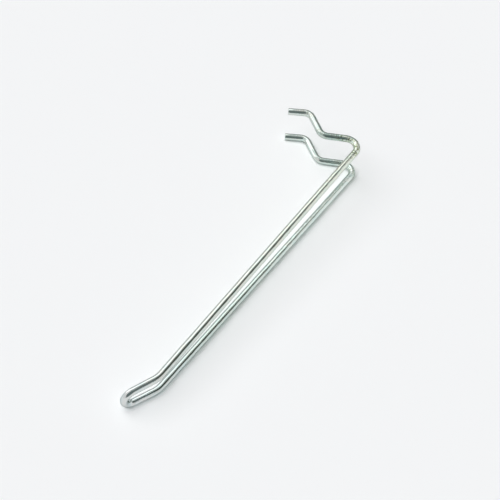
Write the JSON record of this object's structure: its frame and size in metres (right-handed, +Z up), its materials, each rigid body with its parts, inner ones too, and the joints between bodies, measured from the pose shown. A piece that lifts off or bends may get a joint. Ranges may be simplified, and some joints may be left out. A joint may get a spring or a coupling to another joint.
{
  "type": "pegboard hook",
  "caption": "Bent-wire hook for a perforated board: cranked pegs hold in the holes, and spread arms rise to an upturned closed loop that keeps hung goods on.",
  "frame": {"origin": "midway between the two holes of the board, on the board's front face", "axes": "+Z up, +Y into the board, -Y out along the arms, +X to the right of someone facing the board"},
  "size_m": [0.0302, 0.2461, 0.1269],
  "materials": {
    "zinc_plated_wire": "bright zinc plate with a clear pale passivate over drawn steel wire"
  },
  "bodies": {
    "root": {"hook_wire": "zinc_plated_wire"}
  },
  "joints": []
}
